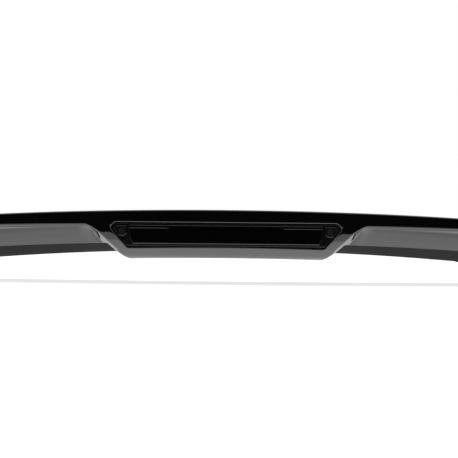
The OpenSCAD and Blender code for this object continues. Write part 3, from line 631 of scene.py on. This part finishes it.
def lens_end(z):
    """Half width of the lens at height z: straight, with its lower corner drawn in."""
    heights = [lens_low, lens_low + lens_bend_h, lens_low + lens_h]
    return np.interp(z, heights, [lens_foot_x, lens_bend_x, lens_x])


def rounded_edge(inset, r):
    """How far a face drops at this inset from its edge, for an edge round of radius r."""
    return r - np.sqrt(np.maximum(0, r ** 2 - np.maximum(0, r - inset) ** 2))


def pad_share(x, z):
    """1 on the pads at the lens's ends, 0 elsewhere, with a long slope at their inner end and a short
    one at their top."""
    past_start = np.clip((np.abs(x) - pad_in) / pad_slope_x, 0, 1)
    return past_start * np.clip((pad_top - z) / pad_slope_h, 0, 1)


def edge_ring(grid):
    """Number of rings of the grid between a point and the grid's nearest edge."""
    i, j = np.indices(grid.shape)
    return np.minimum(np.minimum(i, grid.shape[0] - 1 - i), np.minimum(j, grid.shape[1] - 1 - j))


# Rows and columns crowd at the edges, where they follow the round, and rows also at the pads' upper
# slope
lens_columns, middle_in, round_angles = 90, 0.5 * mm, np.radians([0, 22, 45, 67, 90])
edge_steps = np.append(lens_r * (1 - np.cos(round_angles)), lens_r + 0.2 * mm)
end_steps = edge_steps * end_r / lens_r
inset_x = np.concatenate([end_steps, np.full(lens_columns, middle_in), end_steps[::-1]])
ends_along = np.full(len(end_steps), 1)
along = np.concatenate([-ends_along, np.linspace(-1, 1, lens_columns + 2)[1:-1], ends_along])
face_rows = np.concatenate([
    lens_low + edge_steps, np.linspace(lens_low + 3 * mm, pad_top - mm, 8),
    pad_top + np.linspace(-0.7, 0.2, 7) * mm, [pad_top + mm], (lens_low + lens_h - edge_steps)[::-1]
])[::-1]
inset_z = np.minimum(face_rows - lens_low, lens_low + lens_h - face_rows)
grid_in, grid_z = np.meshgrid(inset_x, face_rows, indexing="ij")
grid_x = along[:, None] * (lens_end(grid_z) - grid_in)
fall = np.hypot(np.maximum(0, 1 - grid_in / end_r), np.maximum(0, 1 - inset_z[None, :] / lens_r))
grid_u = flange_u - lens_deep + rounded_edge(lens_r * (1 - np.minimum(fall, 1)), lens_r)
grid_u = grid_u + pad_up * (1 - pad_share(grid_x, grid_z))
lens_front = np.stack([grid_x, tail_y(grid_x) + grid_u, grid_z], axis=-1)
ring = edge_ring(grid_u)
hollow_x = np.clip(grid_x, lens_t - lens_end(grid_z), lens_end(grid_z) - lens_t)
hollow_z = np.clip(grid_z, lens_low + lens_t, lens_low + lens_h - lens_t)
inner_x, inner_z = np.where(ring > 0, hollow_x, grid_x), np.where(ring > 0, hollow_z, grid_z)
inner_u = np.where(ring > 1, flange_u - lens_deep + pad_up + lens_t, flange_u - rest)
lens_back = np.stack([inner_x, tail_y(inner_x) + inner_u, inner_z], axis=-1)
lens_quads = grid_faces(*ring.shape)
lens_points, lens_faces = thick(lens_front.reshape(-1, 3), lens_quads, lens_back.reshape(-1, 3))
smoked_lens = finish(
    "smoked_lens", (0.0015, 0.001, 0.001), (0.003, 0.002, 0.002), (0.03, 0.06), 80, 900, 1e-6,
    Coat_Weight=0.5
)
piece("smoked_cover", lens_points, lens_faces, smoked_lens, "smoked_lens", ["lamp_lens"], 60)

# Lamp housing
# Black moulded tub behind a flange that fills the recess but for a small gap all round. Outside the
# lens the flange carries two raised six-sided ears with rounded edges, one for each fixing screw.
lamp_gap, flange_r, tub_x, tub_h, tub_wall = 0.5 * mm, 0.4 * mm, 126 * mm, 21 * mm, 1.6 * mm
tub_back, tub_draft = gasket_u + 11 * mm, 0.4 * mm
tub_half, tub_inner = tub_h / 2, tub_h / 2 - tub_wall
ear_x, ear_z, ear_t, ear_r, bore_r = 141.5 * mm, recess_top - 10.5 * mm, 2 * mm, 1.1 * mm, 2.2 * mm
ear_corner, ear_sunk = 1.4 * mm, 1 * mm
ear_corners = mm * np.array([
    (-7.5, 7.1), (7.3, 7.4), (11.4, 1.6), (5.2, -7.7), (-3.4, -7.7), (-6.6, -4.0)
])

# Flange and tub are one grid: the edge's round, the flange, the tub's wall and the tub's floor. An
# inset of flat_in lies past the edge's round, and margin tells the tub's rows from the rest
insets, flat_in, margin = np.array([0, 0.12, 0.4, 1.2]) * mm, 1 * mm, 0.1 * mm
tub_columns, flange_columns = 26, 6
inner_columns = tub_columns + flange_columns
draft_share = tub_draft / tub_inner
rows_at = np.array([1, 1 - draft_share, 0.3, -0.3, draft_share - 1, -1])
rows_z = np.concatenate([
    recess_top - lamp_gap - insets, lamp_z + rows_at * tub_inner,
    (recess_foot + lamp_gap + insets)[::-1]
])
row_tub = (np.abs(rows_z - lamp_z) < tub_inner - margin)[None, :]
column_in = np.concatenate([np.full(inner_columns, flat_in), insets[::-1]])[:, None]
column_number = np.arange(len(column_in))[:, None]
column_tub = column_number < tub_columns
flange_end = recess_end(rows_z) - lamp_gap * math.hypot(1, recess_slant)
flange_share = np.clip((column_number - tub_columns) / flange_columns, 0, 1)
tub_edge = tub_x - tub_wall
flange_x = tub_edge + flange_share * (flange_end - insets[-1] - tub_edge)
flange_x[inner_columns:] = flange_end - insets[::-1, None]
floor_share = np.linspace(0, 1, tub_columns)[:, None] + 0 * rows_z
flange_x[:tub_columns] = floor_share * (tub_edge - tub_draft)
row_in = np.minimum(recess_top - lamp_gap - rows_z, rows_z - recess_foot - lamp_gap)
row_in = np.minimum(row_in, flat_in)[None, :]
tub = column_tub & row_tub
flange_face_u = flange_u + rounded_edge(np.minimum(column_in, row_in), flange_r)
front_u = np.where(tub, tub_back - tub_wall, flange_face_u)
plate_z = np.broadcast_to(rows_z, flange_x.shape)
behind_x = flange_x.copy()
behind_x[:tub_columns] = floor_share * (tub_x - tub_draft)
behind_x[tub_columns] = tub_x
near_tub = np.abs(plate_z - lamp_z) < tub_inner + margin
behind_z = np.where(near_tub, lamp_z + (plate_z - lamp_z) * tub_half / tub_inner, plate_z)
behind_u = np.where(tub, tub_back, gasket_u)
plate = mirrored(np.stack([flange_x, tail_y(flange_x) + front_u, plate_z], axis=-1), (-1, 1, 1))
behind = mirrored(np.stack([behind_x, tail_y(behind_x) + behind_u, behind_z], axis=-1), (-1, 1, 1))
lamp_parts = [thick(plate.reshape(-1, 3), grid_faces(*plate.shape[:2]), behind.reshape(-1, 3))]

# An ear is a stack of rings: up its side, over the edge's round, in to the bore and back down it
before, after = np.roll(ear_corners, 1, axis=0), np.roll(ear_corners, -1, axis=0)
length_before = np.linalg.norm(before - ear_corners, axis=1, keepdims=True)
length_after = np.linalg.norm(after - ear_corners, axis=1, keepdims=True)
starts = ear_corners + (before - ear_corners) / length_before * ear_corner
ends = ear_corners + (after - ear_corners) / length_after * ear_corner
corner_turn = np.linspace(0, 1, 6)[None, :, None]
ear_side = bend(starts[:, None], ear_corners[:, None], ends[:, None], corner_turn).reshape(-1, 2)
ear_run = np.roll(ear_side, -1, axis=0) - np.roll(ear_side, 1, axis=0)
ear_outward = np.stack([-ear_run[:, 1], ear_run[:, 0]], axis=1)
ear_outward /= np.linalg.norm(ear_run, axis=1, keepdims=True)
bore = bore_r * ear_side / np.linalg.norm(ear_side, axis=1, keepdims=True)
ear_u = flange_u - ear_t
levels = [(ear_side, flange_u + ear_sunk)]
for angle in round_angles:
    drawn_in = ear_side - ear_r * (1 - math.cos(angle)) * ear_outward
    levels.append((drawn_in, ear_u + ear_r * (1 - math.sin(angle))))
levels += [(bore, ear_u), (bore, flange_u + ear_sunk)]
ear_rings = np.stack([
    np.column_stack([flat[:, 0] + ear_x, u + 0 * flat[:, 0], flat[:, 1] + ear_z]) for flat, u in levels
])
ear_rings[..., 1] += tail_y(ear_rings[..., 0])
ear_points, ear_faces = closed_rings(ear_rings)
other_ear = ear_points * np.array([-1, 1, 1]), [face[::-1] for face in ear_faces]
lamp_parts += [(ear_points, ear_faces), other_ear]
lamp_black = finish(
    "lamp_black", (0.004, 0.004, 0.0045), (0.008, 0.008, 0.008), (0.12, 0.22), 70, 2500, 5e-6
)
piece("lamp_body", *joined(lamp_parts), lamp_black, "lamp_black", ["lamp_housing"], 50)

# Reflector
# Open box behind the lens that throws the chips' light backwards. It is moulded in hard plastic,
# lacquered and coated with aluminium in a vacuum.
bright = finish(
    "bright_reflector", (0.72, 0.72, 0.75), (0.86, 0.86, 0.88), (0.05, 0.14), 90, 900, 1e-6, Metallic=1.0
)
paint_node("lamp_reflector", bright)

# Circuit board
# Glass-fibre board with green solder resist, which carries the light chips and their resistors in
# one row. Two small zinc-plated screws hold it in the tub.
board_green = finish("board_green", (0.02, 0.12, 0.05), (0.04, 0.19, 0.09), (0.3, 0.45), 150, 2500, 1e-5)
paint_node("circuit_board", board_green)
chip_yellow = finish("chip_yellow", (0.7, 0.52, 0.14), (0.82, 0.68, 0.28), (0.2, 0.35), 300, 2500, 2e-6)
paint_node("led_chips", chip_yellow)
resistor_black = finish(
    "resistor_black", (0.012, 0.012, 0.012), (0.03, 0.03, 0.03), (0.35, 0.5), 400, 4000, 1e-5
)
paint_node("board_resistors", resistor_black)
screw_steel = finish(
    "screw_steel", (0.42, 0.42, 0.44), (0.58, 0.58, 0.6), (0.22, 0.4), 300, 3000, 4e-6, Metallic=1.0
)
paint_node("board_screws", screw_steel)

# Gasket and screw clips
# A ring of closed-cell foam seals the flange against the recess's floor. Behind that floor a clip
# of phosphated spring steel takes each lamp screw.
foam = finish("foam", (0.025, 0.025, 0.025), (0.055, 0.055, 0.055), (0.8, 0.95), 200, 3200, 2e-4)
paint_node("lamp_gasket", foam)
clip_steel = finish(
    "clip_steel", (0.16, 0.16, 0.17), (0.28, 0.28, 0.29), (0.3, 0.5), 200, 2500, 6e-6, Metallic=1.0
)
paint_node("screw_clips", clip_steel)

# Socket, pins and breather
# Black nylon socket on the tub's back with two tinned brass blades for the lead, and a white
# breather that lets the lamp's air swell without letting water in.
socket_black = finish(
    "socket_black", (0.02, 0.02, 0.02), (0.036, 0.036, 0.036), (0.3, 0.45), 150, 2600, 2e-5
)
paint_node("lamp_socket", socket_black)
pin_brass = finish(
    "pin_brass", (0.66, 0.48, 0.22), (0.82, 0.66, 0.38), (0.2, 0.35), 400, 3000, 3e-6, Metallic=1.0
)
paint_node("socket_pins", pin_brass)
breather = finish("breather_white", (0.66, 0.66, 0.64), (0.78, 0.78, 0.77), (0.5, 0.7), 300, 3600, 4e-5)
paint_node("breather_plug", breather)

# Grommet and edge seal
# Black rubber. The grommet snaps into the base's floor where the lead passes down into the lid, and
# the seal is pressed onto the front edge, where it closes the gap to the paint.
rubber = finish("rubber", (0.013, 0.013, 0.013), (0.028, 0.028, 0.028), (0.6, 0.8), 120, 2400, 4e-5)
paint_node("lead_grommet", rubber)
paint_node("edge_seal", rubber)

# Studs and their seals
# Zinc-plated steel studs with a rolled thread and a flat head that the base is moulded round. A foam
# ring round each keeps water out of the lid's hole.
stud_steel = finish(
    "stud_steel", (0.46, 0.46, 0.48), (0.62, 0.62, 0.64), (0.25, 0.42), 250, 3000, 4e-6, Metallic=1.0
)
paint_node("mount_studs", stud_steel)
paint_node("stud_seals", foam)

# Tapes
# Two strips of dark acrylic foam tape between the base and the paint. The side that faces down still
# has its red release film.
tape = finish("tape", (0.09, 0.01, 0.008), (0.15, 0.02, 0.015), (0.35, 0.5), 120, 2600, 1e-5)
tape_nodes, tape_links = tape.node_tree.nodes, tape.node_tree.links
facing, normal_parts = tape_nodes.new("ShaderNodeNewGeometry"), tape_nodes.new("ShaderNodeSeparateXYZ")
below, film = tape_nodes.new("ShaderNodeMath"), tape_nodes.new("ShaderNodeMix")
below.operation = "LESS_THAN"
below.inputs[1].default_value = -0.5
film.data_type = "RGBA"
film.inputs["A"].default_value = (0.01, 0.01, 0.01, 1)
tape_links.new(facing.outputs["Normal"], normal_parts.inputs["Vector"])
tape_links.new(normal_parts.outputs["Z"], below.inputs[0])
tape_links.new(below.outputs["Value"], film.inputs["Factor"])
tape_links.new(tape_nodes["Group"].outputs["Color"], film.inputs["B"])
tape_links.new(film.outputs["Result"], tape_nodes["Principled BSDF"].inputs["Base Color"])
paint_node("front_tape", tape)
paint_node("rear_tape", tape)

# Screws
# Black phosphated cross-slot screws: eight from below hold the two shells together, and two go
# through the lamp's ears into their clips.
dark_screw = finish(
    "dark_screw", (0.018, 0.018, 0.018), (0.04, 0.04, 0.04), (0.3, 0.5), 300, 3000, 6e-6, Metallic=1.0
)
paint_node("shell_screws", dark_screw)
paint_node("lamp_screws", dark_screw)

# Floor
# Pale studio floor just under the part. It glows for the camera, so that it shows as white, while
# reflections see it in steps of grey along Y, which are painted reflections: painted bright patches
# and painted shade that the part's downward faces mirror. From below it is clear.
floor_level = cad_low.z - 0.5 * mm
floor_half, floor_glow, paper_grey = 6.0, 0.72, 0.55
greys_half, middle_end, wings_start = 0.5, 0.195, 0.215
corners = [(-1, -1), (1, -1), (1, 1), (-1, 1)]
paper = bpy.data.meshes.new("floor")
paper.from_pydata([(x * floor_half, y * floor_half, floor_level) for x, y in corners], [], [(0, 1, 2, 3)])
floor = bpy.data.objects.new("floor", paper)
bpy.context.scene.collection.objects.link(floor)
pale = bpy.data.materials.new("pale_floor")
pale.use_nodes = True
floor_nodes, floor_links = pale.node_tree.nodes, pale.node_tree.links
floor_nodes.remove(floor_nodes["Principled BSDF"])
matte = floor_nodes.new("ShaderNodeBsdfDiffuse")
matte.inputs["Color"].default_value = (paper_grey, paper_grey, paper_grey, 1)
glow = floor_nodes.new("ShaderNodeEmission")
floor_rays = floor_nodes.new("ShaderNodeLightPath")
place = floor_nodes.new("ShaderNodeTexCoord")
axes = floor_nodes.new("ShaderNodeSeparateXYZ")
across = floor_nodes.new("ShaderNodeMapRange")
across.inputs["From Min"].default_value = -greys_half
across.inputs["From Max"].default_value = greys_half


def painted_reflection_ramp(stops):
    """Ramp node of painted reflection greys: these grey levels at these places along Y, in metres."""
    ramp = floor_nodes.new("ShaderNodeValToRGB")
    ramp.color_ramp.interpolation = "EASE"
    ramp.color_ramp.elements[0].position = 0
    for y, level in stops[1:]:
        ramp.color_ramp.elements.new((y + greys_half) / (2 * greys_half))
    ramp.color_ramp.elements.remove(ramp.color_ramp.elements[-1])
    for element, (y, level) in zip(ramp.color_ramp.elements, stops):
        element.color = (level, level, level, 1)
    floor_links.new(across.outputs["Result"], ramp.inputs["Fac"])
    return ramp


# Painted reflection greys: those that the middle of the part mirrors, rising to a painted bright
# patch under the sill, and those that the wings on both sides mirror, with darker dips that stand in
# for the shade near and under the part
painted_middle_greys = painted_reflection_ramp([(-0.5, 0.3), (-0.31, 0.3), (-0.27, 1.1), (-0.2, 1.15), (-0.12, 1.5)])
wings = painted_reflection_ramp([
    (-0.5, 0.3), (-0.21, 0.42), (-0.17, 1.1), (-0.12, 1.15), (-0.09, 1.1), (-0.06, 0.7), (-0.045, 1.4)
])
aside = floor_nodes.new("ShaderNodeMath")
aside.operation = "ABSOLUTE"
outboard = floor_nodes.new("ShaderNodeMapRange")
outboard.inputs["From Min"].default_value = middle_end
outboard.inputs["From Max"].default_value = wings_start
fade = floor_nodes.new("ShaderNodeMix")
seen = floor_nodes.new("ShaderNodeMath")
seen.operation = "MULTIPLY"
seen.inputs[1].default_value = floor_glow
in_gloss = floor_nodes.new("ShaderNodeMath")
in_gloss.operation = "MULTIPLY_ADD"
floor_links.new(place.outputs["Object"], axes.inputs["Vector"])
floor_links.new(axes.outputs["Y"], across.inputs["Value"])
floor_links.new(axes.outputs["X"], aside.inputs[0])
floor_links.new(aside.outputs["Value"], outboard.inputs["Value"])
floor_links.new(outboard.outputs["Result"], fade.inputs["Factor"])
floor_links.new(painted_middle_greys.outputs["Color"], fade.inputs["A"])
floor_links.new(wings.outputs["Color"], fade.inputs["B"])
floor_links.new(floor_rays.outputs["Is Camera Ray"], seen.inputs[0])
# Only reflections see the painted greys, which are added to the camera's even glow
floor_links.new(floor_rays.outputs["Is Glossy Ray"], in_gloss.inputs[0])
floor_links.new(fade.outputs["Result"], in_gloss.inputs[1])
floor_links.new(seen.outputs["Value"], in_gloss.inputs[2])
floor_links.new(in_gloss.outputs["Value"], glow.inputs["Strength"])
both = floor_nodes.new("ShaderNodeAddShader")
floor_links.new(matte.outputs["BSDF"], both.inputs[0])
floor_links.new(glow.outputs["Emission"], both.inputs[1])
underneath = floor_nodes.new("ShaderNodeNewGeometry")
clear, cut = floor_nodes.new("ShaderNodeBsdfTransparent"), floor_nodes.new("ShaderNodeMixShader")
floor_links.new(underneath.outputs["Backfacing"], cut.inputs["Fac"])
floor_links.new(both.outputs["Shader"], cut.inputs[1])
floor_links.new(clear.outputs["BSDF"], cut.inputs[2])
floor_links.new(cut.outputs["Shader"], floor_nodes["Material Output"].inputs["Surface"])
paper.materials.append(pale)

# Black flag
# Upright black card behind the camera's side of the part, which only reflections see. It makes the
# upright tail band black, while the faces that look down mirror the floor.
flag_y, flag_h, flag_half = -0.447, 0.14, 1.6
flag_corners = [
    (-flag_half, flag_y, floor_level), (flag_half, flag_y, floor_level),
    (flag_half, flag_y, flag_h), (-flag_half, flag_y, flag_h)
]
card = bpy.data.meshes.new("black_flag")
card.from_pydata(flag_corners, [], [(0, 1, 2, 3)])
flag = bpy.data.objects.new("black_flag", card)
bpy.context.scene.collection.objects.link(flag)
velvet = bpy.data.materials.new("black_velvet")
velvet.use_nodes = True
velvet_shader = velvet.node_tree.nodes["Principled BSDF"]
velvet_shader.inputs["Base Color"].default_value = (0.004, 0.004, 0.004, 1)
velvet_shader.inputs["Specular IOR Level"].default_value = 0
card.materials.append(velvet)
flag.visible_camera = False
flag.visible_diffuse = False
flag.visible_shadow = False
flag.visible_transmission = False

# Lights
# An even white surround, at half level on the object and full level where it is seen or mirrored,
# and one broad softbox overhead.
world = bpy.data.worlds.new("studio")
bpy.context.scene.world = world
world.use_nodes = True
sky_nodes, sky_links = world.node_tree.nodes, world.node_tree.links
sky = sky_nodes["Background"]
sky_rays = sky_nodes.new("ShaderNodeLightPath")
shown = sky_nodes.new("ShaderNodeMath")
shown.operation = "ADD"
shown.use_clamp = True
shown_too = sky_nodes.new("ShaderNodeMath")
shown_too.operation = "ADD"
shown_too.use_clamp = True
level = sky_nodes.new("ShaderNodeMapRange")
level.inputs["To Min"].default_value = 0.55
level.inputs["To Max"].default_value = 1.0
sky_links.new(sky_rays.outputs["Is Camera Ray"], shown.inputs[0])
sky_links.new(sky_rays.outputs["Is Glossy Ray"], shown.inputs[1])
sky_links.new(shown.outputs["Value"], shown_too.inputs[0])
sky_links.new(sky_rays.outputs["Is Transmission Ray"], shown_too.inputs[1])
sky_links.new(shown_too.outputs["Value"], level.inputs["Value"])
sky_links.new(level.outputs["Result"], sky.inputs["Strength"])
sky.inputs["Color"].default_value = (1, 1, 1, 1)

softbox = bpy.data.lights.new("softbox", "AREA")
softbox.shape = "RECTANGLE"
softbox.size, softbox.size_y = 2.4, 1.2
softbox.energy = 22
overhead = bpy.data.objects.new("softbox", softbox)
overhead.location = (0.2, 0.1, 1.5)
bpy.context.scene.collection.objects.link(overhead)

# Camera
# Looks level along +Y from two metres behind the tail, as the photo does, turned by the photo's
# small roll. The lens takes in the width that the lamp's scale gives.
picture_w = 618.3 * mm
camera_away = 2.0
roll = math.radians(0.56)
optics = bpy.data.cameras.new("camera")
optics.sensor_width = 36
optics.lens = optics.sensor_width * camera_away / picture_w
optics.clip_end = 50
frame_middle = (4 * mm, tail_y(0) - camera_away, mid_z + 27.7 * mm)
camera = bpy.data.objects.new("camera", optics)
camera.matrix_world = Matrix((
    (math.cos(roll), -math.sin(roll), 0, frame_middle[0]),
    (0, 0, -1, frame_middle[1]),
    (math.sin(roll), math.cos(roll), 0, frame_middle[2]),
    (0, 0, 0, 1),
))
bpy.context.scene.collection.objects.link(camera)
bpy.context.scene.camera = camera
bpy.context.scene.view_settings.view_transform = "Standard"
